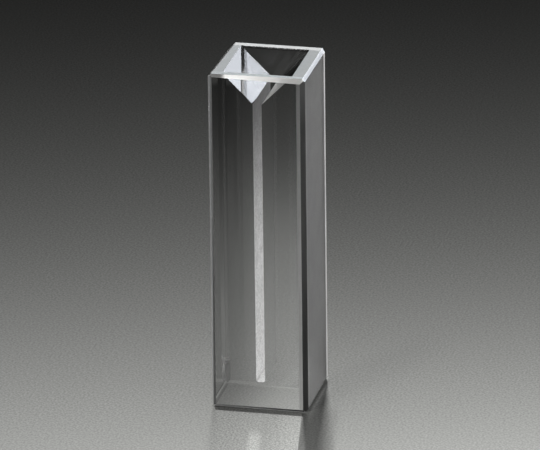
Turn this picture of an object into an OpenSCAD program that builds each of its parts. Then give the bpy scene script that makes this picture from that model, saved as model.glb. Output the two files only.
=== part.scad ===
// Micro cuvette: a square glass cell for measuring small samples with light.
// A thick middle block carries a Y-shaped channel, a funnel that runs into a narrow slot,
// and a polished window is fused to each end of the light path to close it.
//
// +X runs across the two ground sides, +Y along the light path with the front window at -Y,
// and +Z up. The origin is the centre of the base. Lengths are in millimetres.

/* [Cell] */
// Height from the base to the rim
cell_h = 45; // [25:0.5:60]
// Width across the two ground sides
cell_w = 12.5; // [10:0.1:20]
// Light path: the inside distance from window to window
light_path = 10; // [2:0.5:20]
// Thickness of each window
window_t = 1.25; // [0.8:0.05:2.5]

/* [Channel] */
// Width of the slot that holds the sample
slot_w = 1.15; // [0.6:0.05:4]
// Radius in the two lower corners of the slot
slot_corner_r = 0.25; // [0.05:0.05:0.5]
// Solid glass left under the slot
floor_t = 3.5; // [1.5:0.1:15]
// Side wall left standing at the rim, beside the funnel
rim_wall = 1.8; // [0.8:0.1:3]
// Angle of the funnel's two slopes above the horizontal
funnel_angle = 45; // [30:1:65]

/* [Edges] */
// Bevel along the four upright edges
upright_bevel = 0.55; // [0.1:0.05:0.7]
// Bevel round the rim
rim_bevel = 0.25; // [0.1:0.05:0.7]
// Bevel round the base
base_bevel = 0.4; // [0.1:0.05:0.7]

/* [Hidden] */
$fn = 48;

cell_d = light_path + 2 * window_t;
mouth_w = cell_w - 2 * rim_wall;
funnel_h = (mouth_w - slot_w) / 2 * tan(funnel_angle);
funnel_z = cell_h - funnel_h;
// How far a cutting shape runs past the glass it cuts
past = 1;
glass = [0.76, 0.80, 0.81, 0.5];

// A rectangle about the origin with its four corners cut off at 45 degrees
module bevelled_rectangle(size, bevel) {
    x = size.x / 2;
    y = size.y / 2;
    polygon([
        [-x + bevel, -y], [x - bevel, -y],
        [x, -y + bevel], [x, y - bevel],
        [x - bevel, y], [-x + bevel, y],
        [-x, y - bevel], [-x, -y + bevel]
    ]);
}

// The side view of the whole cell for a given width: rim and base bevelled
module end_profile(width) {
    x = width / 2;
    polygon([
        [-x + base_bevel, 0], [x - base_bevel, 0],
        [x, base_bevel], [x, cell_h - rim_bevel],
        [x - rim_bevel, cell_h], [-x + rim_bevel, cell_h],
        [-x, cell_h - rim_bevel], [-x, base_bevel]
    ]);
}

// The cell as one solid bar, after every outer edge has been bevelled.
// Where three bevels meet, the corner comes out mitred.
module bevelled_bar() {
    intersection() {
        linear_extrude(cell_h)
            bevelled_rectangle([cell_w, cell_d], upright_bevel);
        along_y(-cell_d / 2, cell_d / 2)
            end_profile(cell_w);
        rotate([0, 0, 90])
            along_y(-cell_w / 2, cell_w / 2)
                end_profile(cell_d);
    }
}

// Extrudes a flat front view, drawn in X and Z, from one depth to another
module along_y(from, to) {
    translate([0, to, 0])
        rotate([90, 0, 0])
            linear_extrude(to - from)
                children();
}

// The part of the bar that lies between two depths
module slice_of_bar(from, to) {
    intersection() {
        bevelled_bar();
        along_y(from, to)
            translate([-cell_w / 2, 0])
                square([cell_w, cell_h]);
    }
}

// Front view of the slot: parallel walls and a flat end with rounded corners
module slot_outline() {
    straight_z = floor_t + slot_corner_r;
    corner_x = slot_w / 2 - slot_corner_r;
    translate([-slot_w / 2, straight_z])
        square([slot_w, cell_h + past - straight_z]);
    translate([-corner_x, floor_t])
        square([2 * corner_x, slot_corner_r + past]);
    for (side = [-1, 1])
        translate([side * corner_x, straight_z])
            circle(r = slot_corner_r);
}

// Front view of the funnel: two slopes that open from the slot to the mouth,
// carried on past the rim so that the cut leaves nothing behind
module funnel_outline() {
    slot_x = slot_w / 2;
    past_x = mouth_w / 2 + past / tan(funnel_angle);
    polygon([
        [-slot_x, funnel_z], [slot_x, funnel_z],
        [past_x, cell_h + past], [-past_x, cell_h + past]
    ]);
}

// The Y-shaped space for the sample, open to both windows and to the rim
module channel() {
    along_y(-light_path / 2 - past, light_path / 2 + past)
        union() {
            slot_outline();
            funnel_outline();
        }
}

module channel_block() {
    color(glass)
        difference() {
            slice_of_bar(-light_path / 2, light_path / 2);
            channel();
        }
}

module front_window() {
    color(glass)
        slice_of_bar(-cell_d / 2, -light_path / 2);
}

module rear_window() {
    color(glass)
        slice_of_bar(light_path / 2, cell_d / 2);
}

channel_block();
front_window();
rear_window();
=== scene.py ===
# %% [markdown]
# # A micro cuvette in studio light
# A cuvette is a small square glass cell that holds a liquid while light is measured through it.
# This one is for tiny samples: a thick middle block leaves only a narrow slot, with a funnel above it to
# fill it by. Glass has hardly any colour of its own, so what is seen is the studio: a dark sheet behind, a
# lamp that shines towards the viewer, and the soft glow of the faces that were ground and not polished.
# The first cell loads the finished solids, and reads the cell's size and the place of its windows from them.

# %% Load the solids
import math
import random

import bmesh
import bpy
from mathutils import Matrix, Vector


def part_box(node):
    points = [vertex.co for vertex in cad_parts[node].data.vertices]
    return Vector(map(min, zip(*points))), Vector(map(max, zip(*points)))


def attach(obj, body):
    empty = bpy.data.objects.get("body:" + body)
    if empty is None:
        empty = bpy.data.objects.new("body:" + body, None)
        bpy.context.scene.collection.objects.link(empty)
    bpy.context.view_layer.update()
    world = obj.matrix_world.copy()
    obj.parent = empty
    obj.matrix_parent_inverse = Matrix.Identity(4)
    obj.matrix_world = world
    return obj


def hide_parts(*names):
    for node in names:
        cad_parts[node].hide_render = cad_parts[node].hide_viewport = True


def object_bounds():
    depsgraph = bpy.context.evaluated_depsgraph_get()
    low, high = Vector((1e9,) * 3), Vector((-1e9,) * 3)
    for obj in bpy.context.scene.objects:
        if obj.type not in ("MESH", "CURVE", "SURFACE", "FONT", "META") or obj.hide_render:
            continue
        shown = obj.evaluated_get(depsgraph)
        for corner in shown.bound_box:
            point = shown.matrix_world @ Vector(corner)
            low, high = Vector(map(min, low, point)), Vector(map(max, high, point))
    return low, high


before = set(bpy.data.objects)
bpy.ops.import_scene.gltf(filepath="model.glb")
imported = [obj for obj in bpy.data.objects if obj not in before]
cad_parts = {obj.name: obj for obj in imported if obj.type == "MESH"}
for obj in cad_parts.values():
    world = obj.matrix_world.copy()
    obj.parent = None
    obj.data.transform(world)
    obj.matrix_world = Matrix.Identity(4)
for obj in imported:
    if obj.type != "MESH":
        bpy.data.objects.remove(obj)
cad_low, cad_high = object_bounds()
MM = 0.001

cell_low, cell_high = Vector(cad_low), Vector(cad_high)
_, block_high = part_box("channel_block")
half_width = cell_high.x
half_depth = cell_high.y
window_inside = block_high.y
print("cell", [round(v / MM, 2) for v in cell_high - cell_low], "mm")
print("windows", round((half_depth - window_inside) / MM, 2), "mm thick")

# %% [markdown]
# ## The camera
# A long lens from nearly a metre away keeps the upright edges almost parallel, as in a maker's catalogue.
# A wide lens close by would make them lean together. The camera comes first because everything else is
# judged through it. A place round the cell is given as a turn from the front and a rise above the table,
# which is how a lamp or a camera is set up in a studio, and not as X, Y and Z, which are harder to imagine.

# %% Camera
CAMERA_TURN = 13.14  # degrees to the right of the front
CAMERA_RISE = 21.14  # degrees above the horizon
CAMERA_ROLL = -0.715  # degrees, as a tripod is never quite level
CAMERA_DISTANCE = 900 * MM
CAMERA_LENS = 473.2
SENSOR_WIDTH = 36.0
AIM = Vector((0.39, -0.8, 23.19)) * MM


def towards(turn, rise):
    """The unit vector to a place so many degrees round from the front and above the horizon."""
    around = math.radians(turn)
    up = math.radians(rise)
    return Vector((math.sin(around) * math.cos(up), -math.cos(around) * math.cos(up), math.sin(up)))


def look_from(obj, place, aim, roll=0.0):
    """Puts a camera or a lamp at a place and points it at the aim, upright apart from the roll."""
    back = (place - aim).normalized()
    right = Vector((0, 0, 1)).cross(back).normalized()
    up = back.cross(right)
    facing = Matrix((right, up, back)).transposed().to_4x4()
    obj.matrix_world = Matrix.Translation(place) @ facing @ Matrix.Rotation(math.radians(roll), 4, "Z")


scene = bpy.context.scene
camera = bpy.data.objects.new("camera", bpy.data.cameras.new("camera"))
scene.collection.objects.link(camera)
camera.data.sensor_width = SENSOR_WIDTH
camera.data.lens = CAMERA_LENS
camera.data.clip_start = 50 * MM
camera.data.clip_end = 6.0
look_from(camera, AIM + towards(CAMERA_TURN, CAMERA_RISE) * CAMERA_DISTANCE, AIM, CAMERA_ROLL)
scene.camera = camera
scene.view_settings.view_transform = "Standard"
print("camera at", [round(v / MM) for v in camera.location], "mm")

# %% [markdown]
# ## Light through glass
# A ray that goes through the cell crosses many surfaces: two windows, the slot and its walls. Blender stops
# a ray after a dozen bounces or fewer by default, which leaves black patches in glass, so the limits go up.
# The light that glass throws on the sheet is made with thin shadows instead of traced rays, which stays
# clean.

# %% Limits for rays in glass
BOUNCES = 32
cycles = scene.cycles
cycles.max_bounces = BOUNCES
cycles.glossy_bounces = BOUNCES
cycles.transmission_bounces = BOUNCES
cycles.transparent_max_bounces = BOUNCES
cycles.caustics_refractive = False
print("up to", BOUNCES, "bounces in glass")

# %% [markdown]
# ## One cell from three pieces
# The maker cuts the channel through a block and then fuses a window to each side of it in a furnace. No
# seam is left inside good glass, so the three solids have to become one skin: a face buried inside would
# show as a second surface. A Boolean union with the exact solver does what the furnace does, and a limited
# dissolve clears away the edges that the joints leave on flat faces.

# %% Fuse the pieces
JOINT_GAP = 1e-7
FLAT_WITHIN = math.radians(0.5)


def copy_of(node):
    """A loose copy of one solid's mesh, which leaves the frame's own object as it is."""
    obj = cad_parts[node].copy()
    obj.data = obj.data.copy()
    obj.parent = None
    for key in list(obj.keys()):
        del obj[key]
    scene.collection.objects.link(obj)
    return obj


cell = copy_of("channel_block")
cell.name = "fused_cell"
windows = [copy_of("front_window"), copy_of("rear_window")]
for window in windows:
    fuse = cell.modifiers.new("fuse", "BOOLEAN")
    fuse.operation = "UNION"
    fuse.solver = "EXACT"
    fuse.object = window
bpy.context.view_layer.update()
fused = bpy.data.meshes.new_from_object(cell.evaluated_get(bpy.context.evaluated_depsgraph_get()))
cell.modifiers.clear()
cell.data = fused
for window in windows:
    bpy.data.objects.remove(window)

form = bmesh.new()
form.from_mesh(cell.data)


def clean_up(form):
    """Joins points that meet, clears needless edges on flat faces and turns every face outwards."""
    bmesh.ops.remove_doubles(form, verts=form.verts, dist=JOINT_GAP)
    bmesh.ops.dissolve_limit(form, angle_limit=FLAT_WITHIN, verts=form.verts, edges=form.edges)
    bmesh.ops.recalc_face_normals(form, faces=form.faces)
    return sum(len(edge.link_faces) != 2 for edge in form.edges)


print("open edges:", clean_up(form), "  volume:", round(form.calc_volume() / MM**3, 1), "mm3")

# %% [markdown]
# ## Bevels ground by hand
# The outer edges are taken off on a lapping plate, held by hand, so no two bevels are quite as wide and
# some widen along their length. A bevel modifier would give every edge one even width. Each real bevel is a
# flat cut, and Blender's bisect tool makes the same cut on a mesh: a plane through four points of the edge,
# with everything beyond it removed and the cut closed. The five bevels that show most are cut here. The
# others keep the even widths of the solids.

# %% Grind the bevels


def grind(form, start, end, first_side, second_side, start_width, end_width):
    """Cuts an edge back to a flat that is start_width wide at one end and end_width at the other."""
    a = start + first_side * start_width
    b = end + first_side * end_width
    c = start + second_side * start_width
    outward = (b - a).cross(c - a).normalized()
    if outward.dot(first_side + second_side) > 0:
        outward.negate()
    everything = form.verts[:] + form.edges[:] + form.faces[:]
    cut = bmesh.ops.bisect_plane(form, geom=everything, plane_co=a, plane_no=outward, clear_outer=True)
    new_edges = [part for part in cut["geom_cut"] if isinstance(part, bmesh.types.BMEdge)]
    bmesh.ops.contextual_create(form, geom=new_edges)


def corner(x, y, z):
    """A corner of the square bar, by the sign of x and y, at the base (0) or the rim (1)."""
    return Vector((x * half_width, y * half_depth, z * cell_high.z))


RIGHT = Vector((1, 0, 0))
REAR = Vector((0, 1, 0))
UP = Vector((0, 0, 1))

TOP_FRONT = (0.33 * MM, 0.56 * MM)  # bevel widths at the left and at the right end
TOP_RIGHT = (0.38 * MM, 0.40 * MM)  # from the front to the rear
TOP_LEFT = (0.44 * MM, 0.92 * MM)
FRONT_LEFT = (0.57 * MM, 0.62 * MM)  # from the base to the rim
FRONT_RIGHT = (0.57 * MM, 0.56 * MM)

grind(form, corner(-1, -1, 1), corner(1, -1, 1), REAR, -UP, *TOP_FRONT)
grind(form, corner(1, -1, 1), corner(1, 1, 1), -RIGHT, -UP, *TOP_RIGHT)
grind(form, corner(-1, -1, 1), corner(-1, 1, 1), RIGHT, -UP, *TOP_LEFT)
grind(form, corner(-1, -1, 0), corner(-1, -1, 1), RIGHT, REAR, *FRONT_LEFT)
grind(form, corner(1, -1, 0), corner(1, -1, 1), -RIGHT, REAR, *FRONT_RIGHT)
print("open edges:", clean_up(form), "  volume:", round(form.calc_volume() / MM**3, 1), "mm3")

# %% [markdown]
# ## The rear window's own edge
# The edge of the rear window was ground finer than the block's sides, and it shows as a bright line down the
# far side. One material could change its tone there by a test on place, but how strongly glass bends light is
# kept as one number for each material, since most other programs can't read more. So each side is cut in two
# where the window was fused on, and the narrow strip behind the cut gets a finish of its own.

# %% Cut the sides where the rear window was fused on
SQUARE_ON = 0.99
CLOSE = 0.01 * MM


def near(value, target):
    return abs(value - target) < CLOSE


facing_sideways = [face for face in form.faces if abs(face.normal.x) > SQUARE_ON]
sides = [face for face in facing_sideways if near(abs(face.calc_center_median().x), half_width)]
for side in sides:
    parts = [side] + side.edges[:] + side.verts[:]
    bmesh.ops.bisect_plane(form, geom=parts, plane_co=Vector((0, window_inside, 0)), plane_no=REAR)
print(len(sides), "sides cut,", len(form.faces), "faces")

# %% [markdown]
# ## A chipped mouth
# Where a polished wall meets the ground rim the glass is left as a sharp edge, and it chips in lapping. The
# rear edge of the mouth shows it best. A bump in the material would leave the outline straight, so the chips
# are cut into the mesh: a thin strip under the edge is split into many short lengths, and the points along
# its top are pushed back by small random amounts, so that real facets catch the light.

# %% Chip the rear edge of the mouth
CHIP_DEPTH = 0.10 * MM
CHIP_HEIGHT = 0.13 * MM
CHIP_LENGTH = 0.13 * MM
CHIP_FACE = 2 * CHIP_LENGTH * CHIP_HEIGHT  # no facet of a chip is larger
LONG_EDGE = 10 * CHIP_LENGTH
CARRY = 0.6  # how much of one chip's depth runs on into the next
STEP_BACK, STEP_ON = -0.3, 0.5
SEED = 7
chance = random.Random(SEED)

rear_wall = next(
    f for f in form.faces if f.normal.y < -SQUARE_ON and near(f.calc_center_median().y, window_inside)
)
chip_line = Vector((0, 0, cell_high.z - CHIP_HEIGHT))
parts = [rear_wall] + rear_wall.edges[:] + rear_wall.verts[:]
bmesh.ops.bisect_plane(form, geom=parts, plane_co=chip_line, plane_no=UP)
long_edges = [
    edge
    for edge in form.edges
    if all(near(v.co.y, window_inside) and v.co.z > chip_line.z - CLOSE for v in edge.verts)
    and near(edge.verts[0].co.z, edge.verts[1].co.z)
]
cuts = round(max(edge.calc_length() for edge in long_edges) / CHIP_LENGTH)
long_edges = [edge for edge in long_edges if edge.calc_length() > LONG_EDGE]
bmesh.ops.subdivide_edges(form, edges=long_edges, cuts=cuts, use_grid_fill=True)
depth = 0.0
for point in sorted((v for v in form.verts if near(v.co.z, cell_high.z)), key=lambda v: v.co.x):
    if near(point.co.y, window_inside) and len(point.link_edges) > 2:
        step = chance.uniform(STEP_BACK, STEP_ON) * CHIP_DEPTH
        depth = max(0.0, min(CHIP_DEPTH, CARRY * depth + step))
        point.co.y += depth
chipped = [f for f in form.faces if len(f.verts) == 4 and near(f.calc_center_median().y, window_inside)]
bmesh.ops.triangulate(form, faces=[f for f in chipped if f.calc_area() < CHIP_FACE])
bmesh.ops.recalc_face_normals(form, faces=form.faces)
print(cuts, "chips,", len(form.faces), "faces, open edges:", sum(len(e.link_faces) != 2 for e in form.edges))

form.to_mesh(cell.data)
form.free()
cell.data.update()
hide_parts("channel_block", "front_window", "rear_window")
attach(cell, "root")

# %% [markdown]
# ## Wiring materials
# Every finish here is a graph of nodes. Such graphs can be wired by hand in the shader editor, but fourteen
# of them are easier to keep alike in code. These short helpers add a node, feed a value to it and work out
# sums, so that the finishes below read as a recipe and not as wiring.

# %% Node helpers


def add_node(tree, kind, **settings):
    node = tree.nodes.new("ShaderNode" + kind)
    for name, value in settings.items():
        setattr(node, name, value)
    return node


def feed(tree, socket, value):
    """Sets a socket to a plain number, or links it to another node's output."""
    if isinstance(value, bpy.types.NodeSocket):
        tree.links.new(value, socket)
    else:
        socket.default_value = value


def work_out(tree, operation, *values):
    node = add_node(tree, "Math", operation=operation)
    for socket, value in zip(node.inputs, values):
        feed(tree, socket, value)
    return node.outputs[0]


def times(tree, product, *others):
    for value in others:
        product = work_out(tree, "MULTIPLY", product, value)
    return product


print("helpers:", [helper.__name__ for helper in (add_node, feed, work_out, times)])

# %% [markdown]
# ## Masks and fades
# Grinding, wear and dried film start and stop at a place on the glass, sharply or little by little. That can
# be painted by hand on the mesh, but a mask that is worked out from X, Y and Z is exact at any size and can
# be moved by changing one number. A mask is 1 where something is and 0 where it isn't, and masks multiply.

# %% Masks and fades


def below(tree, value, limit):
    """1 where the value is less than the limit and 0 elsewhere."""
    return work_out(tree, "LESS_THAN", value, limit)


def above(tree, value, limit):
    """1 where the value is more than the limit and 0 elsewhere."""
    return work_out(tree, "GREATER_THAN", value, limit)


def apart(tree, value, middle):
    """How far a value is from the middle, to either side."""
    return work_out(tree, "ABSOLUTE", work_out(tree, "SUBTRACT", value, middle))


def blend(tree, share, low, high):
    """low where the share is 0 and high where it is 1."""
    node = add_node(tree, "Mix")
    feed(tree, node.inputs["Factor"], share)
    feed(tree, node.inputs["A"], low)
    feed(tree, node.inputs["B"], high)
    return node.outputs["Result"]


def ramp(tree, value, start, end, low=0.0, high=1.0):
    """Goes smoothly from low to high while the value goes from start to end."""
    node = add_node(tree, "MapRange", interpolation_type="SMOOTHSTEP")
    for socket, number in zip(node.inputs, (value, start, end, low, high)):
        feed(tree, socket, number)
    return node.outputs["Result"]


def place_of(tree):
    """Where a point lies on the cell: its X, Y and Z in metres."""
    coordinates = add_node(tree, "TexCoord")
    split = add_node(tree, "SeparateXYZ")
    tree.links.new(coordinates.outputs["Object"], split.inputs[0])
    return split.outputs


def tint(tree, socket, colour, tone):
    """Feeds a socket with a colour that is made lighter or darker by the tone."""
    tinted = add_node(tree, "VectorMath", operation="SCALE")
    tinted.inputs[0].default_value = colour
    feed(tree, tinted.inputs["Scale"], tone)
    tree.links.new(tinted.outputs[0], socket)


print("masks:", [helper.__name__ for helper in (below, above, apart, blend, ramp, place_of, tint)])

# %% [markdown]
# ## Effects that are shared
# Grain and haze are on many faces at once. Each material could have its own copy of their nodes, but then
# every change would have to be made in each copy. A node group is wired once and placed wherever it is
# needed, with its own values there.

# %% Node groups


def new_group(name, inputs, outputs):
    """A node group with named number sockets, and the nodes that hold them."""
    group = bpy.data.node_groups.new(name, "ShaderNodeTree")
    for label, value in inputs.items():
        socket = group.interface.new_socket(name=label, in_out="INPUT", socket_type="NodeSocketFloat")
        socket.default_value = value
    for label in outputs:
        group.interface.new_socket(name=label, in_out="OUTPUT", socket_type="NodeSocketFloat")
    return group, group.nodes.new("NodeGroupInput").outputs, group.nodes.new("NodeGroupOutput").inputs


def use_group(tree, group, **values):
    """Places a group in a material, with its own values for some of the group's sockets."""
    node = add_node(tree, "Group", node_tree=group)
    for label, value in values.items():
        feed(tree, node.inputs[label], value)
    return node.outputs


print("groups so far:", len(bpy.data.node_groups))

# %% [markdown]
# ## Grain
# Loose grit on a lapping plate breaks the surface into tiny pits. From arm's length the pits are too fine to
# see one by one, but their light and dark still makes a speckle, and the plate leaves broader, fainter
# patches. Pits modelled one by one would take millions of faces, and two sizes of cloudy noise look the
# same. Every ground face shares this group, apart from the fine bevels of the rim. Height drives a bump,
# and Speckle shifts tone and roughness.

# %% Grain of ground glass
PATCH_SHARE = 0.3
CLOUD_LOW, CLOUD_HIGH = 0.3, 0.7  # cloudy noise hardly ever leaves this range

grain, given, made = new_group("ground_grain", {"Grit": 0.16, "Patch": 2.2}, ["Height", "Speckle"])
where = add_node(grain, "TexCoord").outputs["Object"]


def noise(tree, where, size_mm, detail):
    """Cloudy noise whose features are about so many millimetres across."""
    node = add_node(tree, "TexNoise")
    tree.links.new(where, node.inputs["Vector"])
    feed(tree, node.inputs["Scale"], work_out(tree, "DIVIDE", 1 / MM, size_mm))
    feed(tree, node.inputs["Detail"], detail)
    return node.outputs["Fac"]


pits = noise(grain, where, size_mm=given["Grit"], detail=3.0)
patches = noise(grain, where, size_mm=given["Patch"], detail=2.0)
feed(grain, made["Height"], pits)
feed(grain, made["Speckle"], ramp(grain, blend(grain, PATCH_SHARE, pits, patches), CLOUD_LOW, CLOUD_HIGH))
print("grain group:", [item.name for item in grain.interface.items_tree])

# %% [markdown]
# ## Wipe haze
# A cell is wiped with a tissue before use. That leaves long faint streaks, and a few grains of dust. They are
# what tells the eye that there is a surface at all. A painted picture of streaks would need its own map of
# the surface, so noise is stretched along the cell instead, and a second, finer noise is cut off high up
# until only specks are left.

# %% Haze left by wiping
STREAK_STRETCH = 0.18
STREAK_LEAN = 9  # degrees from upright
HAZE_FROM, HAZE_FULL = 0.45, 0.75
SPECK_FROM, SPECK_FULL = 0.80, 0.84

haze, given, made = new_group("wipe_haze", {"Streak": 1.4, "Dust": 0.35}, ["Haze", "Specks"])
where = add_node(haze, "TexCoord").outputs["Object"]
stretch = add_node(haze, "Mapping")
stretch.inputs["Scale"].default_value = (1.0, 1.0, STREAK_STRETCH)
stretch.inputs["Rotation"].default_value = (0.0, math.radians(STREAK_LEAN), 0.0)
haze.links.new(where, stretch.inputs["Vector"])
streaks = noise(haze, stretch.outputs["Vector"], size_mm=given["Streak"], detail=4.0)
dust = noise(haze, where, size_mm=given["Dust"], detail=1.0)
feed(haze, made["Haze"], ramp(haze, streaks, HAZE_FROM, HAZE_FULL))
feed(haze, made["Specks"], ramp(haze, dust, SPECK_FROM, SPECK_FULL))
print("haze group:", [item.name for item in haze.interface.items_tree])

# %% [markdown]
# ## What all the glass shares
# Clear fused silica bends light a little less than window glass. Its colour comes only from what lies
# behind it. Two habits of light in glass need help from the material. A lamp shines through clear glass, so
# shadows have to pass it. Tracing every bent ray from the lamp would be truer but grainy, so the surface is
# made nearly transparent to shadow rays. And a ground face seen from inside the glass at a flat angle is a
# mirror, because the light never gets out to meet the pits. Some faces are also hidden, wholly or in part,
# where they are seen from inside, so that they don't clutter the clear front.

# %% Clear silica
SILICA_IOR = 1.46
SHADOW_LEFT = 0.05  # share of a lamp's light that each clear surface holds back


def silica(name, tone=1.0, through=1.0):
    """A new glass material: its node tree and its shader."""
    material = bpy.data.materials.new(name)
    material.use_nodes = True
    tree = material.node_tree
    shader = tree.nodes["Principled BSDF"]
    shader.inputs["Base Color"].default_value = (tone, tone, tone, 1.0)
    shader.inputs["IOR"].default_value = SILICA_IOR
    shader.inputs["Transmission Weight"].default_value = through
    return material, tree, shader


def inside_of(tree):
    """1 where a face is seen from inside the glass and 0 where it is seen from the air."""
    return add_node(tree, "NewGeometry").outputs["Backfacing"]


def pass_lamps(tree, shader, share=1.0, hidden_inside=0.0):
    """Lets lamps shine through: share is 1 everywhere, 0 nowhere, or a mask.
    hidden_inside takes the surface away where it is seen from inside the glass."""
    shadow_ray = add_node(tree, "LightPath").outputs["Is Shadow Ray"]
    passed = times(tree, shadow_ray, share, 1.0 - SHADOW_LEFT)
    hidden = times(tree, inside_of(tree), hidden_inside)
    gone = work_out(tree, "MAXIMUM", passed, hidden)
    feed(tree, shader.inputs["Alpha"], work_out(tree, "SUBTRACT", 1.0, gone))


print("clear silica bends light by", SILICA_IOR)

# %% [markdown]
# ## Polished windows
# The windows are polished flat to a fraction of a wavelength, so they are perfectly smooth apart from the
# haze. The rear one is darker towards its left side, up to a clear band below the rim: this is painted
# shade over what is seen through it. Lapping the rim has left a dull line near its top. The front one
# carries a thin film towards its right side, which mirrors more of the bright sheet, and a strip beside its
# right bevel has lost its polish and is painted darker towards the foot, as painted shade. The film could
# be a second mesh just off the glass, but that is what the shader's coat is for. The rest are tones and
# roughness that change with the place on the window.

# %% Polish
HAZE_ROUGHNESS = 0.004
SPECK_DEPTH = 0.3
PAINTED_SHADE_LEFT = 0.22  # what the painted shade lets through at the left, up to the height where it deepens
PAINTED_SHADE_LEFT_AT_RIM = 0.04
PAINTED_SHADE_DEEPENS = 28.0 * MM
PAINTED_SHADE_FROM, PAINTED_SHADE_TO = -7.5 * MM, 3.7 * MM
PAINTED_SHADE_ENDS_FROM, PAINTED_SHADE_ENDS_TO = 40.4 * MM, 41.4 * MM
MARK_HEIGHT = 44.6 * MM
MARK_HALF_WIDTH = 0.2 * MM
MARK_TONE = 0.32
FILM_IOR = 1.8
FILM_FROM, FILM_TO = -4.0 * MM, 4.0 * MM
STRIP_FROM = 5.2 * MM
STRIP_ROUGHNESS = 0.5
# painted shade: the strip beside the right bevel is darker towards the foot
STRIP_SHADE_AT_FOOT = 0.38
STRIP_SHADE_FROM, STRIP_SHADE_TO = 2.0 * MM, 34.0 * MM
FINE_EDGE = 0.05 * MM  # half the width over which a fine line fades


def painted_shade_of(tree, place):
    """What the painted shade and the dull line let through."""
    left = ramp(tree, place["Z"], PAINTED_SHADE_DEEPENS, cell_high.z, PAINTED_SHADE_LEFT, PAINTED_SHADE_LEFT_AT_RIM)
    painted_shade = ramp(tree, place["X"], PAINTED_SHADE_FROM, PAINTED_SHADE_TO, left, 1.0)
    painted_shade = blend(tree, ramp(tree, place["Z"], PAINTED_SHADE_ENDS_FROM, PAINTED_SHADE_ENDS_TO), painted_shade, 1.0)
    dull_line = work_out(tree, "COMPARE", place["Z"], MARK_HEIGHT, MARK_HALF_WIDTH)
    return times(tree, painted_shade, blend(tree, dull_line, 1.0, MARK_TONE))


def polished_finish(name, with_left_shade=False, film=False):
    material, tree, shader = silica(name)
    place = place_of(tree)
    wiped = use_group(tree, haze)
    hazy = times(tree, wiped["Haze"], HAZE_ROUGHNESS)
    clear = work_out(tree, "SUBTRACT", 1.0, times(tree, wiped["Specks"], SPECK_DEPTH))
    # painted shade: the rear window is darkened towards its left side
    if with_left_shade:
        clear = times(tree, clear, painted_shade_of(tree, place))
    if film:
        shader.inputs["Coat IOR"].default_value = FILM_IOR
        feed(tree, shader.inputs["Coat Weight"], ramp(tree, place["X"], FILM_FROM, FILM_TO))
        strip = ramp(tree, place["X"], STRIP_FROM - FINE_EDGE, STRIP_FROM + FINE_EDGE)
        hazy = blend(tree, strip, hazy, STRIP_ROUGHNESS)
        # painted shade, darker towards the foot, on the strip that has lost its polish
        painted_foot_shade = ramp(tree, place["Z"], STRIP_SHADE_FROM, STRIP_SHADE_TO, STRIP_SHADE_AT_FOOT, 1.0)
        clear = times(tree, clear, blend(tree, strip, 1.0, painted_foot_shade))
    feed(tree, shader.inputs["Roughness"], hazy)
    feed(tree, shader.inputs["Base Color"], clear)
    pass_lamps(tree, shader)
    return material


polished = polished_finish("polished_glass")
# the rear window carries painted shade towards its left side
rear_polish = polished_finish("polished_rear", with_left_shade=True)
front_polish = polished_finish("polished_front", film=True)
print("polished:", [material.name for material in (polished, rear_polish, front_polish)])

# %% [markdown]
# ## The funnel's slopes
# The two slopes are polished like the windows. The last fill dried on them below a slanting line: on the
# left slope it is a film that mirrors more, and on the right one a light frost. The left slope's glass is
# painted dark, as painted shade, so that it shows little but what it mirrors. Above the line the right slope
# is dark, because what enters there runs down between the walls and is lost, all but a part at the rear;
# that darkness is painted shade in its tone. The line could be cut into the mesh, but a level that leans
# with depth, worked out from Z and Y, draws it with no extra faces.

# %% Funnel slopes
SLOPE_LEAN = 0.37
FILM_LINE = 42.7 * MM
# painted shade: the left slope's glass is darkened so that it shows little but what it mirrors
LEFT_SLOPE_PAINTED_SHADE = 0.1
SLOPE_FILM_NEAR, SLOPE_FILM_FAR = 0.2, 0.28
SLOPE_FILM_FROM, SLOPE_FILM_TO = -4.0 * MM, -0.5 * MM
FROST_ROUGHNESS = 0.5
FROST_TONE = 0.3
# painted shade on the right slope above the film's line, which ends towards the rear
PAINTED_SHADE_TONE = 0.02
PAINTED_SHADE_ENDS = 2.8 * MM
SOFT_EDGE = 0.1 * MM  # half the width over which a softer line fades


def under_film_line(tree, place):
    level = work_out(tree, "ADD", place["Z"], times(tree, place["Y"], SLOPE_LEAN))
    return ramp(tree, level, FILM_LINE + FINE_EDGE, FILM_LINE - FINE_EDGE)


def left_slope_finish():
    material, tree, shader = silica("polished_left_slope", tone=LEFT_SLOPE_PAINTED_SHADE)
    place = place_of(tree)
    film = ramp(tree, place["Y"], SLOPE_FILM_FROM, SLOPE_FILM_TO, SLOPE_FILM_NEAR, SLOPE_FILM_FAR)
    shader.inputs["Roughness"].default_value = 0.0
    shader.inputs["Coat IOR"].default_value = FILM_IOR
    feed(tree, shader.inputs["Coat Weight"], times(tree, film, under_film_line(tree, place)))
    pass_lamps(tree, shader)
    return material


def right_slope_finish():
    material, tree, shader = silica("polished_right_slope")
    place = place_of(tree)
    frosted = under_film_line(tree, place)
    at_rear = ramp(tree, place["Y"], PAINTED_SHADE_ENDS - SOFT_EDGE, PAINTED_SHADE_ENDS + SOFT_EDGE)
    # painted shade above the line, all but a part at the rear
    painted_shade_over_line = blend(tree, at_rear, PAINTED_SHADE_TONE, 1.0)
    feed(tree, shader.inputs["Base Color"], blend(tree, frosted, painted_shade_over_line, FROST_TONE))
    feed(tree, shader.inputs["Roughness"], times(tree, frosted, FROST_ROUGHNESS))
    pass_lamps(tree, shader)
    return material


left_slope = left_slope_finish()
right_slope = right_slope_finish()
print("the film's line leans by", round(math.degrees(math.atan(SLOPE_LEAN)), 1), "degrees")

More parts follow.
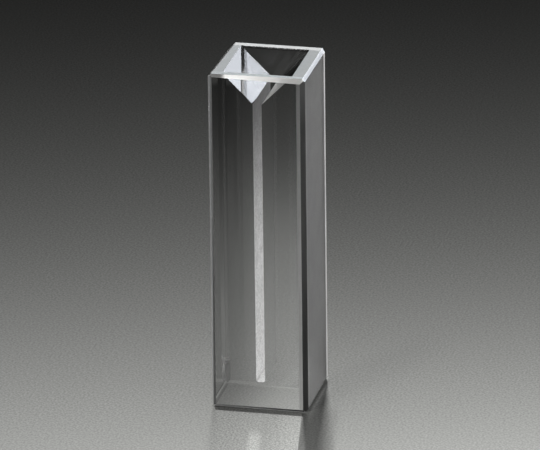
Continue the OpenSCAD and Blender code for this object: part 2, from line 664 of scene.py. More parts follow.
# %% [markdown]
# ## Ground faces
# The two sides, the rim and the walls of the slot only have to be flat, so they are left ground. From the
# air they scatter light to a soft grey. From inside the glass they are mirrors at a flat angle, and straight
# on the rim is clear and the others are dark. Real pits would give all of this by themselves, but far too
# slowly, so a test for the side that is seen does it: the grey goes on the air side only, and the roughness
# goes away inside where the angle is flat.

# %% Ground
GROUND_ROUGHNESS = 0.85
GROUND_THROUGH = 0.8
ROUGHNESS_PLAY = 0.1
SPECKLE_DEPTH = 0.16
MIRROR_FROM, MIRROR_FULL = 0.50, 0.65  # how flat the angle is: 0 straight on, 1 along the face


def flatness_of(tree):
    """0 where a face is seen straight on and 1 where it is seen along its surface."""
    return add_node(tree, "LayerWeight").outputs["Facing"]


def mirror_inside(tree, shader, air_roughness):
    """Sets the roughness: as given from the air, and none from inside at a flat angle."""
    mirrored = times(tree, inside_of(tree), ramp(tree, flatness_of(tree), MIRROR_FROM, MIRROR_FULL))
    feed(tree, shader.inputs["Roughness"], blend(tree, mirrored, air_roughness, 0.0))


def ground_glass(name, roughness, **grain_sizes):
    """Ground glass that still has to get its tone and its share of lamp light."""
    material, tree, shader = silica(name, through=GROUND_THROUGH)
    speckle = use_group(tree, grain, **grain_sizes)["Speckle"]
    play = times(tree, speckle, ROUGHNESS_PLAY)
    mirror_inside(tree, shader, work_out(tree, "ADD", roughness - ROUGHNESS_PLAY / 2, play))
    return material, tree, shader


def tone_air_side(tree, shader, tone, tone_inside=0.0, depth=SPECKLE_DEPTH, **grain_sizes):
    """Gives the air side a speckled tone and the glass side another."""
    speckle = use_group(tree, grain, **grain_sizes)["Speckle"]
    speckled = times(tree, tone, ramp(tree, speckle, 0.0, 1.0, 1.0 - depth, 1.0 + depth))
    feed(tree, shader.inputs["Base Color"], blend(tree, inside_of(tree), speckled, tone_inside))


print("ground glass has roughness", GROUND_ROUGHNESS, "and speckle", SPECKLE_DEPTH)

# %% [markdown]
# ## Sides
# The sides are ground evenly. The front window's edge is a little lighter than the block, which a test on Y
# picks out on the same flat face. Towards the foot the side darkens, where the table keeps the light away,
# and a little lamp light leaks through there and softens the foot of the shadow. The rear window's edge is
# the strip that was cut off above. Its stronger bending is what turns it into a bright line.

# %% Sides
SIDE_TONE = 0.28
FRONT_EDGE_TONE = 0.36
FOOT_TONE = 0.55
FOOT_HEIGHT = 11.0 * MM
FOOT_LEAK = 0.18
LEAK_HEIGHT = 2.4 * MM
REAR_EDGE_TONE = 1.0
REAR_EDGE_ROUGHNESS = 0.87
REAR_EDGE_IOR = 1.69


def side_finish():
    material, tree, shader = ground_glass("ground_side", GROUND_ROUGHNESS)
    place = place_of(tree)
    tone = blend(tree, below(tree, place["Y"], -window_inside), SIDE_TONE, FRONT_EDGE_TONE)
    tone_air_side(tree, shader, times(tree, tone, ramp(tree, place["Z"], 0.0, FOOT_HEIGHT, FOOT_TONE, 1.0)))
    leak = ramp(tree, place["Z"], 0.0, LEAK_HEIGHT, FOOT_LEAK, 0.0)
    pass_lamps(tree, shader, share=work_out(tree, "MAXIMUM", inside_of(tree), leak))
    return material


def rear_edge_finish():
    material, tree, shader = ground_glass("ground_rear_edge", REAR_EDGE_ROUGHNESS)
    shader.inputs["IOR"].default_value = REAR_EDGE_IOR
    tone_air_side(tree, shader, REAR_EDGE_TONE)
    pass_lamps(tree, shader, share=inside_of(tree))
    return material


side_ground = side_finish()
rear_edge = rear_edge_finish()
print("side tone", SIDE_TONE, "and rear edge bending", REAR_EDGE_IOR)

# %% [markdown]
# ## Rim
# The rim is one ground face that runs over all three pieces, but they took the grinding differently: the
# front window's edge came out light, the rear one's smoother and dark in itself, and the block's two walls
# in between. It could be cut up like the sides, but only tone and roughness differ here, and tests on X and
# Y can change those within one material. A slightly cool tint is painted light: the bluish light of the
# panel behind, painted into the rim's colour.

# %% Rim
RIM_TONE_LEFT, RIM_TONE_RIGHT = 0.50, 0.38
FRONT_RIM_TONE = 0.76
REAR_RIM_TONE = 0.16
RIM_ROUGHNESS = 0.8
REAR_RIM_ROUGHNESS = 0.69
# painted light: the bluish colour of the panel's light on the rim
RIM_PAINTED_LIGHT_TINT = (0.77, 0.92, 1.0)
RIM_SPECKLE_LOW = 0.82


def rim_finish():
    material, tree, shader = silica("ground_rim", through=GROUND_THROUGH)
    place = place_of(tree)
    on_rear = above(tree, place["Y"], window_inside)
    on_front = below(tree, place["Y"], -window_inside)
    between = blend(tree, above(tree, place["X"], 0.0), RIM_TONE_LEFT, RIM_TONE_RIGHT)
    tone = blend(tree, on_rear, blend(tree, on_front, between, FRONT_RIM_TONE), REAR_RIM_TONE)
    speckle = use_group(tree, grain)["Speckle"]
    speckled = times(tree, tone, ramp(tree, speckle, 0.0, 1.0, RIM_SPECKLE_LOW, 1.0))
    tint(tree, shader.inputs["Base Color"], RIM_PAINTED_LIGHT_TINT, blend(tree, inside_of(tree), speckled, 1.0))
    mirror_inside(tree, shader, blend(tree, on_rear, RIM_ROUGHNESS, REAR_RIM_ROUGHNESS))
    pass_lamps(tree, shader, share=inside_of(tree))
    return material


rim_ground = rim_finish()
print("rim tones, front to rear:", FRONT_RIM_TONE, RIM_TONE_LEFT, RIM_TONE_RIGHT, REAR_RIM_TONE)

# %% [markdown]
# ## The slot's walls
# The grit that cut the slot can't be polished out of so narrow a gap, so its walls stay frosted. They show
# as a pale line down the middle of the cell, lighter towards the bottom. The frost swallows what comes at it
# straight from the glass. The light that the walls gather is painted into their tone as painted light: a
# pale speckled tone that grows towards the bottom.

# %% Slot
# painted light: how lit the walls look at the top and at the bottom
SLOT_LIGHT_TOP, SLOT_LIGHT_BOTTOM = 0.035, 0.85
SLOT_LIGHT_FROM, SLOT_LIGHT_TO = 43.0 * MM, 8.0 * MM
SLOT_SPECKLE = 0.35
SLOT_ROUGHNESS = 0.97
SLOT_IOR = 1.645


def slot_finish():
    material, tree, shader = ground_glass("slot_wall", SLOT_ROUGHNESS, Grit=0.2)
    shader.inputs["IOR"].default_value = SLOT_IOR
    # painted light: the walls grow lighter towards the bottom
    painted_light = ramp(tree, place_of(tree)["Z"], SLOT_LIGHT_FROM, SLOT_LIGHT_TO, SLOT_LIGHT_TOP, SLOT_LIGHT_BOTTOM)
    tone_air_side(tree, shader, painted_light, depth=SLOT_SPECKLE, Grit=0.22, Patch=1.2)
    pass_lamps(tree, shader)
    return material


slot_wall = slot_finish()
print("slot walls: tone", SLOT_LIGHT_TOP, "at the top and", SLOT_LIGHT_BOTTOM, "at the bottom")

# %% [markdown]
# ## Upright bevels from the air
# The bevels along the upright edges are dark: they bend the view sideways into the unlit studio, and that
# darkness is also painted shade in their tone. The left one has a painted highlight along its outer edge,
# and both are painted lighter towards the rim. The painted highlight could be a face of its own, but it
# narrows towards the foot, and a mask that drifts with the height follows that with no extra faces.

# %% Tone of the upright bevels
# painted highlight: where the left bevel's bright outer edge begins, and how it drifts with height
HIGHLIGHT_EDGE = -5.96 * MM
HIGHLIGHT_EDGE_DRIFT = 0.14 * MM
DRIFT_ENDS = 20.0 * MM
INNER_TONE_LOW, INNER_TONE_HIGH = 0.035, 0.30
INNER_FROM, INNER_TO = 14.0 * MM, 31.0 * MM
RIGHT_TONE_LOW, RIGHT_TONE_HIGH, RIGHT_TONE_TOP = 0.003, 0.04, 0.16
RIGHT_FROM, RIGHT_TO = 10.0 * MM, 30.0 * MM
RIGHT_TOP_FROM, RIGHT_TOP_TO = 38.0 * MM, 44.5 * MM


# The air-side tone is painted shade, with a painted highlight on the left outer edge and painted light
# towards the rim.
def upright_painted_tone(tree, place, on_left):
    inner = ramp(tree, place["Z"], INNER_FROM, INNER_TO, INNER_TONE_LOW, INNER_TONE_HIGH)
    drift = ramp(tree, place["Z"], 0.0, DRIFT_ENDS, HIGHLIGHT_EDGE_DRIFT, 0.0)
    beside = work_out(tree, "ADD", place["X"], drift)
    left = ramp(tree, beside, HIGHLIGHT_EDGE - SOFT_EDGE, HIGHLIGHT_EDGE + SOFT_EDGE, 1.0, inner)
    right = ramp(tree, place["Z"], RIGHT_FROM, RIGHT_TO, RIGHT_TONE_LOW, RIGHT_TONE_HIGH)
    right = blend(tree, ramp(tree, place["Z"], RIGHT_TOP_FROM, RIGHT_TOP_TO), right, RIGHT_TONE_TOP)
    return blend(tree, on_left, right, left)


print("the bright edge is", round((half_width + HIGHLIGHT_EDGE) / MM, 2), "mm wide")

# %% [markdown]
# ## Upright bevels from inside
# Through the front window the rear bevels show as upright stripes. On the real cell they are faint, so from
# inside each one is taken away where it is seen at a flat angle, a little less near the foot. A short dull
# length is left at the very bottom. The bevels could be left out at the rear, but then the cell would be
# wrong from behind. The front left one bends light more, so it is a material of its own.

# %% Upright bevels
REAR_TONE_LOW, REAR_TONE_HIGH = 0.40, 0.06  # what the rear ones let out, at the base and at the rim
UPRIGHT_ROUGHNESS = 0.5
LEFT_BEVEL_IOR = 1.7
LEFT_PASSES = 0.8  # how much lamp light the left ones let by, next to clear glass
FLAT_FROM, FLAT_FULL = 0.24, 0.30
STRIPE_FROM, STRIPE_TO = 1.0 * MM, 12.0 * MM
STRIPE_HIDDEN = 0.6
CORNER_HEIGHT = 3.35 * MM
CORNER_SOFTNESS = 0.5 * MM
CORNER_HIDDEN = 0.25
PIT_STRENGTH, PIT_DEPTH = 0.05, 0.05 * MM


def bump(tree, shader, height):
    node = add_node(tree, "Bump")
    node.inputs["Strength"].default_value = PIT_STRENGTH
    node.inputs["Distance"].default_value = PIT_DEPTH
    tree.links.new(height, node.inputs["Height"])
    tree.links.new(node.outputs["Normal"], shader.inputs["Normal"])


def upright_finish(name, bending):
    material, tree, shader = silica(name)
    shader.inputs["IOR"].default_value = bending
    inside = inside_of(tree)
    place = place_of(tree)
    on_left = below(tree, place["X"], 0.0)
    on_rear = above(tree, place["Y"], 0.0)
    low = ramp(tree, place["Z"], CORNER_HEIGHT + CORNER_SOFTNESS, CORNER_HEIGHT - CORNER_SOFTNESS)
    dull = times(tree, on_rear, low)
    rear_tone = ramp(tree, place["Z"], 0.0, cell_high.z, REAR_TONE_LOW, REAR_TONE_HIGH)
    tone_inside = blend(tree, dull, blend(tree, on_rear, 1.0, rear_tone), 0.0)
    tone = upright_painted_tone(tree, place, on_left)
    feed(tree, shader.inputs["Base Color"], blend(tree, inside, tone, tone_inside))
    rough_inside = times(tree, dull, UPRIGHT_ROUGHNESS)
    feed(tree, shader.inputs["Roughness"], blend(tree, inside, UPRIGHT_ROUGHNESS, rough_inside))
    passes = work_out(tree, "MAXIMUM", inside, times(tree, on_left, LEFT_PASSES))
    near_foot = ramp(tree, place["Z"], STRIPE_FROM, STRIPE_TO, STRIPE_HIDDEN, 1.0)
    flat_view = times(tree, ramp(tree, flatness_of(tree), FLAT_FROM, FLAT_FULL), near_foot)
    pass_lamps(tree, shader, passes, hidden_inside=blend(tree, dull, flat_view, CORNER_HIDDEN))
    bump(tree, shader, use_group(tree, grain, Grit=0.3)["Height"])
    return material


left_bevel = upright_finish("left_bevel", LEFT_BEVEL_IOR)
other_bevels = upright_finish("upright_bevels", SILICA_IOR)
print("upright bevels bend light by", LEFT_BEVEL_IOR, "at the front left and", SILICA_IOR, "elsewhere")

# %% [markdown]
# ## Bevels of the rim
# The bevels round the rim are finer and face the lamps, so they are the brightest lines of all. The front
# one is brightest left of the middle, and the right one has a brighter line along its inner edge. More lamps
# would light the whole cell too, so the coat is used once more: a shine that comes and goes along the edge.
# From inside they are rough, more so right of the middle, because as clear mirrors they would throw a wide
# dark gap on the left slope.

# %% Bevels of the rim
TOP_BEVEL_ROUGHNESS = 0.28
SHINE_ROUGHNESS = 0.15
SHINE_IOR = 2.0
INSIDE_ROUGHNESS_LEFT, INSIDE_ROUGHNESS_RIGHT = 0.4, 1.0
INSIDE_FROM, INSIDE_TO = -1.6 * MM, -0.4 * MM
SHINE_FROM, SHINE_FULL = -4.6 * MM, -3.7 * MM
SHINE_FALLS_FROM, SHINE_ENDS = -2.5 * MM, 5.5 * MM
SHINE_LEFT_OVER = 0.17
SHINE_GAIN = 0.72
RIGHT_SHINE = 0.33
LINE_SHINE = 0.52
LINE_WIDTH = 0.12 * MM
CORNER_SHINE = 0.21
BEVEL_REACH = 1.0 * MM
EDGE_SLACK = 0.02 * MM
CORNER_CLEAR = 0.3 * MM


def shine_of(tree, place):
    """How strongly each part of the rim's bevels shines."""
    rising = ramp(tree, place["X"], SHINE_FROM, SHINE_FULL)
    falling = ramp(tree, place["X"], SHINE_FALLS_FROM, SHINE_ENDS, 1.0, SHINE_LEFT_OVER)
    front = times(tree, rising, falling, below(tree, place["Y"], -window_inside), SHINE_GAIN)
    at_rear = above(tree, place["Y"], window_inside)
    rear_corner = times(tree, at_rear, above(tree, place["X"], half_width - BEVEL_REACH), CORNER_SHINE)
    inner_edge = half_width - TOP_RIGHT[0]
    on_right = above(tree, place["X"], inner_edge - EDGE_SLACK)
    on_right = times(tree, on_right, above(tree, place["Y"], -half_depth + CORNER_CLEAR))
    on_line = below(tree, place["X"], inner_edge + LINE_WIDTH)
    right = times(tree, on_right, blend(tree, on_line, RIGHT_SHINE, LINE_SHINE))
    return work_out(tree, "ADD", work_out(tree, "ADD", front, rear_corner), right)


def top_bevel_finish():
    material, tree, shader = silica("top_bevel")
    inside = inside_of(tree)
    place = place_of(tree)
    across = place["X"]
    rough_inside = ramp(tree, across, INSIDE_FROM, INSIDE_TO, INSIDE_ROUGHNESS_LEFT, INSIDE_ROUGHNESS_RIGHT)
    feed(tree, shader.inputs["Roughness"], blend(tree, inside, TOP_BEVEL_ROUGHNESS, rough_inside))
    shader.inputs["Coat IOR"].default_value = SHINE_IOR
    shader.inputs["Coat Roughness"].default_value = SHINE_ROUGHNESS
    feed(tree, shader.inputs["Coat Weight"], shine_of(tree, place))
    pass_lamps(tree, shader, share=inside)
    return material


top_bevel = top_bevel_finish()
print("shine at the front", SHINE_GAIN, "and at the right", RIGHT_SHINE, "to", LINE_SHINE)

# %% [markdown]
# ## The base
# The cell stands on its ground base. Where the base touches the sheet the sheet shows straight through it at
# a flat angle, and light that comes at it steeply is swallowed. The bevels round it are ground like the
# sides, and the front one is the dark line along the foot. Left as plain glass their inner faces would
# mirror the bright sheet and ring the foot with white. So they hardly bend light at all, and from inside
# they are mostly hidden, more so towards the right.

# %% Base
# painted shade: the base's dark tone where it is seen steeply from inside
BASE_STEEP_TONE = 0.02
BASE_SEEN_FROM, BASE_SEEN_TO = 0.4, 0.6
BASE_BEVEL_IOR = 1.02
BASE_BEVEL_THROUGH = 0.05
# painted light and shade on the bevels' air side: lighter at the left, darker to the right
BASE_BEVEL_LEFT, BASE_BEVEL_RIGHT = 0.55, 0.10
# painted light: the bevel under the right side is lighter
BASE_BEVEL_SIDE = 0.50
BASE_BEVEL_REACH = 0.5 * MM
HIDDEN_LEFT, HIDDEN_RIGHT = 0.60, 0.95
HIDDEN_FROM, HIDDEN_TO = -8.0 * MM, 3.0 * MM
SIDE_BEVEL_HIDDEN = 0.62
SIDE_BEVEL_ENDS = 0.4 * MM  # from the rear


def base_finish():
    material, tree, shader = ground_glass("ground_base", GROUND_ROUGHNESS)
    tone_air_side(tree, shader, SIDE_TONE, tone_inside=BASE_STEEP_TONE)
    flat_view = ramp(tree, flatness_of(tree), BASE_SEEN_FROM, BASE_SEEN_TO)
    pass_lamps(tree, shader, hidden_inside=flat_view)
    return material


def base_bevel_finish():
    material, tree, shader = silica("base_bevel", through=BASE_BEVEL_THROUGH)
    shader.inputs["IOR"].default_value = BASE_BEVEL_IOR
    shader.inputs["Roughness"].default_value = GROUND_ROUGHNESS
    place = place_of(tree)
    off_front = above(tree, place["Y"], -half_depth + BASE_BEVEL_REACH)
    off_right = below(tree, place["X"], half_width - BASE_BEVEL_REACH)
    along = ramp(tree, place["X"], -half_width, half_width, BASE_BEVEL_LEFT, BASE_BEVEL_RIGHT)
    # the air-side tone is painted light and shade along the foot
    tone_air_side(tree, shader, blend(tree, off_right, BASE_BEVEL_SIDE, along))
    on_left = below(tree, place["X"], -half_width + BASE_BEVEL_REACH)
    on_left = times(tree, on_left, below(tree, place["Y"], half_depth - SIDE_BEVEL_ENDS))
    hidden = ramp(tree, place["X"], HIDDEN_FROM, HIDDEN_TO, HIDDEN_LEFT, HIDDEN_RIGHT)
    hidden = blend(tree, on_left, hidden, SIDE_BEVEL_HIDDEN)
    lamps = work_out(tree, "MAXIMUM", inside_of(tree), times(tree, off_front, off_right))
    pass_lamps(tree, shader, share=lamps, hidden_inside=hidden)
    return material


ground_base = base_finish()
base_bevel = base_bevel_finish()
print("base bevels are hidden from inside by", HIDDEN_LEFT, "to", HIDDEN_RIGHT)

# %% [markdown]
# ## Which face gets which finish
# The finishes go on by rule. A face's direction and its middle say what it is: a window, a slope of the
# funnel, a wall of the slot, the rim, a side, the base or a bevel. Faces could be picked by hand or by
# number, but numbers change with every cut above, and a rule still holds after them.

# %% Give each face its finish
FINISHES = {
    "window": polished,
    "front": front_polish,
    "rear": rear_polish,
    "left slope": left_slope,
    "right slope": right_slope,
    "side": side_ground,
    "rear edge": rear_edge,
    "rim": rim_ground,
    "slot": slot_wall,
    "left bevel": left_bevel,
    "other bevels": other_bevels,
    "top bevel": top_bevel,
    "base": ground_base,
    "base bevel": base_bevel,
}
UPRIGHT_WITHIN = 0.2  # an upright face looks up or down by less than this
SLOPE_RISE = 0.3
FUNNEL_REACH = 4 * MM


def finish_of(face):
    n = face.normal
    c = face.center
    near_rim = c.z > cell_high.z - BEVEL_REACH
    if n.y < -SQUARE_ON and near(c.y, -half_depth):
        return "front"
    if n.y > SQUARE_ON and near(c.y, half_depth):
        return "rear"
    if abs(n.y) > SQUARE_ON:
        return "window"
    if n.z > SQUARE_ON and near_rim:
        return "rim"
    if n.z < -SQUARE_ON:
        return "base"
    if abs(n.x) > SQUARE_ON and near(abs(c.x), half_width):
        return "rear edge" if c.y > window_inside else "side"
    at_edge = abs(c.x) > half_width - BEVEL_REACH or abs(c.y) > half_depth - BEVEL_REACH
    if at_edge and abs(n.z) < UPRIGHT_WITHIN:
        return "left bevel" if c.y < 0 and c.x < 0 else "other bevels"
    if at_edge and n.z < 0:
        return "base bevel"
    if at_edge or near(c.y, window_inside) and near_rim:
        return "top bevel"  # the chips along the mouth are among them
    if n.z > SLOPE_RISE and c.z > cell_high.z - FUNNEL_REACH:
        return "right slope" if n.x < 0 else "left slope"
    return "slot"


cell.data.materials.clear()
for material in FINISHES.values():
    cell.data.materials.append(material)
tally = {}
for face in cell.data.polygons:
    kind = finish_of(face)
    face.material_index = list(FINISHES).index(kind)
    tally[kind] = tally.get(kind, 0) + 1
print("faces with each finish:", tally)

# %% [markdown]
# ## The pool of light on the sheet
# The cell stands on a plain sheet. The pool of light on it fades away behind, which gives clear glass
# something dark to stand out against, and it ends a little way in front, which is what the upper half of the
# front window mirrors. In a studio this takes a snoot and black card. Spot lamps could do it here as well,
# but they would light the glass too, so the sheet's own tone does it: it fades from the pool's middle.

# %% Pool of light
SHEET_TONE = 0.62
SHEET_FAR_TONE = 0.004
POOL_FORWARD = 44.3 * MM
POOL_RIGHT = 30.4 * MM
POOL_DEPTH = 65.7 * MM
POOL_WIDTH = 161.5 * MM
POOL_FALL = 1.225
POOL_END_FROM, POOL_END_TO = 55 * MM, 100 * MM


def pool_tone(tree, where):
    """The sheet's tone: brightest in the pool's middle, and dark far behind and far in front."""
    turn = math.radians(CAMERA_TURN)
    forward = Vector((math.sin(turn), -math.cos(turn), 0))
    across = Vector((math.cos(turn), math.sin(turn), 0))
    pool = add_node(tree, "Mapping", vector_type="TEXTURE")
    pool.inputs["Location"].default_value = forward * POOL_FORWARD + across * POOL_RIGHT
    pool.inputs["Rotation"].default_value = (0, 0, turn)
    pool.inputs["Scale"].default_value = (POOL_WIDTH, POOL_DEPTH, 1.0)
    tree.links.new(where, pool.inputs["Vector"])
    distance = add_node(tree, "VectorMath", operation="LENGTH")
    tree.links.new(pool.outputs["Vector"], distance.inputs[0])
    fall = work_out(tree, "POWER", distance.outputs["Value"], POOL_FALL)
    tone = times(tree, work_out(tree, "EXPONENT", times(tree, fall, -1.0)), SHEET_TONE)
    ahead = add_node(tree, "VectorMath", operation="DOT_PRODUCT")
    ahead.inputs[1].default_value = forward
    tree.links.new(where, ahead.inputs[0])
    end = ramp(tree, ahead.outputs["Value"], POOL_END_FROM, POOL_END_TO, 1.0, 0.0)
    return work_out(tree, "ADD", times(tree, tone, end), SHEET_FAR_TONE)


print("pool", round(POOL_WIDTH / MM), "by", round(POOL_DEPTH / MM), "mm")

# %% [markdown]
# ## Light thrown through the cell
# The key lamp shines through the cell from behind, and the glass throws a patch of light on the sheet: bright
# to the right, with a streak from the slot, a fine sparkle and a dark fringe where the right bevel bends
# light away. Blender could trace this, but small bent rays take very long to come out clean. So the patch is
# drawn as a gain on the sheet's tone, along the way the key shines.

# %% Patch of thrown light
THROWN_TURN = 10.1  # degrees from straight ahead
THROWN_EDGE = 4.35 * MM
THROWN_LEFT, THROWN_RIGHT = 0.95, 1.32
THROWN_FROM, THROWN_TO = -6.5 * MM, 5.0 * MM
BEAM_FROM, BEAM_FULL = -7.2 * MM, -6.6 * MM
FADE_FROM, FADE_TO = -22.0 * MM, -60.0 * MM
SPARKLE = 0.22
FRINGE_TONE = 0.66
FRINGE_WIDTH = 0.9 * MM
STREAK_MIDDLE = -1.25 * MM
STREAK_FULL, STREAK_OUT = 0.36 * MM, 1.17 * MM  # from its middle
STREAK_STARTS, STREAK_GROWN = -12.2 * MM, -15.2 * MM
STREAK_GAIN = 0.35
UNDER_LEFT, UNDER_RIGHT = 0.62, 1.35
UNDER_FROM, UNDER_TO = -6.5 * MM, 3.6 * MM


def under_cell(tree, x, y):
    """The painted light and shade on the sheet under the glass: darker on the left, lighter to the right."""
    under = ramp(tree, x, UNDER_FROM, UNDER_TO, UNDER_LEFT, UNDER_RIGHT)
    within_x = below(tree, work_out(tree, "ABSOLUTE", x), half_width)
    within_y = below(tree, work_out(tree, "ABSOLUTE", y), half_depth)
    return blend(tree, times(tree, within_x, within_y), 1.0, under)


def ahead_of_cell(tree, where, beside, y):
    """The patch in front: lighter to the right, with its streak, sparkle and dark fringe."""
    patch = ramp(tree, beside, THROWN_FROM, THROWN_TO, THROWN_LEFT, THROWN_RIGHT)
    streak_across = ramp(tree, apart(tree, beside, STREAK_MIDDLE), STREAK_FULL, STREAK_OUT, 1.0, 0.0)
    streak_along = ramp(tree, y, STREAK_STARTS, STREAK_GROWN)
    patch = work_out(tree, "ADD", patch, times(tree, streak_across, streak_along, STREAK_GAIN))
    glints = noise(tree, where, size_mm=0.22, detail=1.0)
    patch = times(tree, patch, ramp(tree, glints, CLOUD_LOW, CLOUD_HIGH, 1.0 - SPARKLE, 1.0 + SPARKLE))
    before_edge = ramp(tree, beside, THROWN_EDGE + SOFT_EDGE, THROWN_EDGE - SOFT_EDGE)
    in_beam = times(tree, before_edge, ramp(tree, beside, BEAM_FROM, BEAM_FULL))
    fading = ramp(tree, y, FADE_FROM, FADE_TO, 1.0, 0.0)
    patch = blend(tree, times(tree, in_beam, fading), 1.0, patch)
    fringe = ramp(tree, beside, THROWN_EDGE, THROWN_EDGE + FRINGE_WIDTH, FRINGE_TONE, 1.0)
    return times(tree, patch, blend(tree, above(tree, beside, THROWN_EDGE), 1.0, fringe))


print("the patch runs", THROWN_TURN, "degrees off straight ahead")

# %% [markdown]
# ## Beside the cell
# On the right the ground side glows onto the sheet close to the foot, and further out the edge of the shadow
# is soft. A larger key would soften every shadow on the sheet. These two are gains as well, each with a
# reach to the side and a start and an end along the cell, and all the gains are multiplied.

# %% Glow and soft shadow edge
SIDE_GLOW = 1.45
GLOW_REACH = 1.6 * MM
GLOW_FROM, GLOW_FULL = -7.5 * MM, -2.0 * MM
GLOW_FALLS_FROM, GLOW_ENDS = 1.0 * MM, 5.0 * MM
SOFT_TONE = 0.82
SOFT_MIDDLE = 7.9 * MM
SOFT_FULL, SOFT_OUT = 0.4 * MM, 1.7 * MM
SOFT_FROM, SOFT_GROWN = -1.0 * MM, -7.0 * MM


def side_glow(tree, x, y):
    """The glow of the ground side on the sheet to the right of it."""
    glow = ramp(tree, x, half_width, half_width + GLOW_REACH, SIDE_GLOW, 1.0)
    glow = blend(tree, above(tree, x, half_width), 1.0, glow)
    glow = blend(tree, ramp(tree, y, GLOW_FROM, GLOW_FULL), 1.0, glow)
    return blend(tree, ramp(tree, y, GLOW_FALLS_FROM, GLOW_ENDS), glow, 1.0)


def soft_shadow_edge(tree, beside, y):
    """A faint band that softens the outer edge of the shadow."""
    soft = ramp(tree, apart(tree, beside, SOFT_MIDDLE), SOFT_FULL, SOFT_OUT, SOFT_TONE, 1.0)
    soft = blend(tree, ramp(tree, y, SOFT_FROM, SOFT_GROWN), 1.0, soft)
    return blend(tree, ramp(tree, y, FADE_FROM, FADE_TO), soft, 1.0)


def thrown_light(tree, where):
    """How much the light that passes through the cell brightens the sheet, or darkens it."""
    split = add_node(tree, "SeparateXYZ")
    tree.links.new(where, split.inputs[0])
    x, y = split.outputs["X"], split.outputs["Y"]
    turn = math.radians(THROWN_TURN)
    beside = work_out(tree, "ADD", times(tree, x, math.cos(turn)), times(tree, y, math.sin(turn)))
    in_front = below(tree, y, -half_depth)
    gain = blend(tree, in_front, under_cell(tree, x, y), ahead_of_cell(tree, where, beside, y))
    return times(tree, gain, times(tree, side_glow(tree, x, y), soft_shadow_edge(tree, beside, y)))


print("the side's glow reaches", round(GLOW_REACH / MM, 1), "mm from the cell")

# %% [markdown]
# ## The sheet
# The sheet is matt card with a fine tooth. A large disc that lies just under the cell is enough, since its
# edge never comes into view and the far part is as dark as the room. It is only the stage, so it isn't part
# of the cell.

# %% Sheet
SHEET_RADIUS = 0.6
SHEET_CORNERS = 96
SHEET_DROP = 0.02 * MM  # keeps its face clear of the base
SHEET_TINT = (0.990, 1.0, 0.965)
SHEET_TOOTH = 0.18
SHEET_ROUGHNESS = 0.9


def sheet_finish():
    material = bpy.data.materials.new("studio_sheet")
    material.use_nodes = True
    tree = material.node_tree
    shader = tree.nodes["Principled BSDF"]
    shader.inputs["Roughness"].default_value = SHEET_ROUGHNESS
    shader.inputs["Specular IOR Level"].default_value = 0.0
    where = add_node(tree, "TexCoord").outputs["Object"]
    fibres = noise(tree, where, size_mm=0.28, detail=3.0)
    tooth = ramp(tree, fibres, CLOUD_LOW, CLOUD_HIGH, 1.0 - SHEET_TOOTH, 1.0 + SHEET_TOOTH)
    tone = times(tree, pool_tone(tree, where), tooth, thrown_light(tree, where))
    tint(tree, shader.inputs["Base Color"], SHEET_TINT, tone)
    return material


bpy.ops.mesh.primitive_circle_add(
    vertices=SHEET_CORNERS, radius=SHEET_RADIUS, fill_type="NGON", location=(0, 0, -SHEET_DROP)
)
sheet = bpy.context.object
sheet.name = "studio_sheet"
sheet.data.materials.append(sheet_finish())
print("sheet of radius", round(SHEET_RADIUS / MM), "mm")

# %% [markdown]
# ## The dark studio
# Beyond the sheet the studio is dark. What the camera and the glass see of it matches the far end of the
# sheet, and a faint light from all round keeps shadows from going black. A real room would need walls. A
# world that shows one tone to rays that look and another to surfaces that are lit does both at once.

# %% World
ROOM_LIGHT = 0.2
world = bpy.data.worlds.new("studio")
scene.world = world
world.use_nodes = True
air = world.node_tree
rays = add_node(air, "LightPath").outputs
seen = work_out(air, "MAXIMUM", rays["Is Camera Ray"], rays["Is Glossy Ray"])
seen = work_out(air, "MAXIMUM", seen, rays["Is Transmission Ray"])
feed(air, air.nodes["Background"].inputs["Color"], blend(air, seen, ROOM_LIGHT, SHEET_FAR_TONE))
print("room light", ROOM_LIGHT, "and what is seen of the room", SHEET_FAR_TONE)

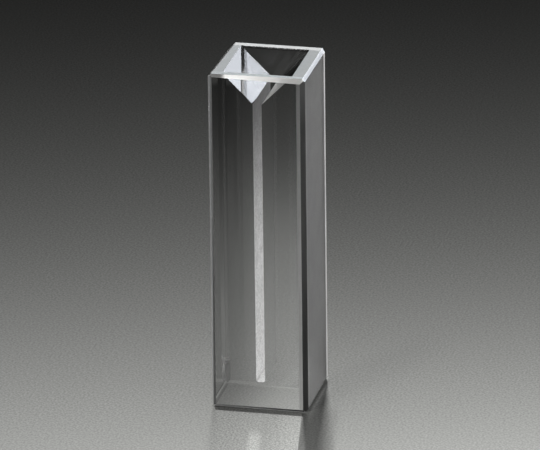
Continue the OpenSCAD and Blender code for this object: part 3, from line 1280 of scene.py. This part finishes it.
# %% [markdown]
# ## Lamps
# Three lamps light the cell, all of them out of view. The key stands low behind the cell and shines
# towards the camera. It gives most of the light on the sheet, and the ground rim glows in it. A panel
# behind on the right is mirrored by the left slope of the funnel and by the right bevel of the rim. A small
# warm lamp overhead is mirrored by the front bevel of the rim. The key is set by the light that it should
# give the sheet, and the others by how bright their faces are. Their power follows from their size. Set the
# other way round, every change of size would change the picture's brightness.

# %% Lamps
LAMP_DISTANCE = 3.0
PI = math.pi


def lamp(name, turn, rise, width, height, radiance, colour=(1, 1, 1)):
    """A rectangular lamp by the angles that it fills and how bright its face is."""
    data = bpy.data.lights.new(name, "AREA")
    data.shape = "RECTANGLE"
    data.size = width * LAMP_DISTANCE
    data.size_y = height * LAMP_DISTANCE
    data.energy = radiance * PI * data.size * data.size_y
    data.color = colour
    obj = bpy.data.objects.new(name, data)
    scene.collection.objects.link(obj)
    look_from(obj, AIM + towards(turn, rise) * LAMP_DISTANCE, AIM)
    obj.visible_camera = False
    on_sheet = radiance * width * height * math.sin(math.radians(rise)) / PI
    print(f"{name}: {on_sheet:.3f} of the light that shows a colour as written")


KEY_TURN = 191.7
KEY_RISE = 21.5
KEY_SIZE = 0.10
KEY_SHARE = 0.70
key_radiance = KEY_SHARE * PI / (KEY_SIZE**2 * math.sin(math.radians(KEY_RISE)))
lamp("key", KEY_TURN, KEY_RISE, KEY_SIZE, KEY_SIZE, key_radiance)

PANEL_TURN = 157.5
PANEL_RISE = 13.0
PANEL_WIDTH, PANEL_HEIGHT = 0.22, 0.16
PANEL_RADIANCE = 5.4
PANEL_COLOUR = (0.89, 0.93, 1.0)
lamp("rear_panel", PANEL_TURN, PANEL_RISE, PANEL_WIDTH, PANEL_HEIGHT, PANEL_RADIANCE, PANEL_COLOUR)

WARM_TURN = -30.9
WARM_RISE = 65.4
WARM_SIZE = 0.12
WARM_RADIANCE = 14.5
WARM_COLOUR = (1.0, 0.99, 0.97)
lamp("overhead", WARM_TURN, WARM_RISE, WARM_SIZE, WARM_SIZE, WARM_RADIANCE, WARM_COLOUR)
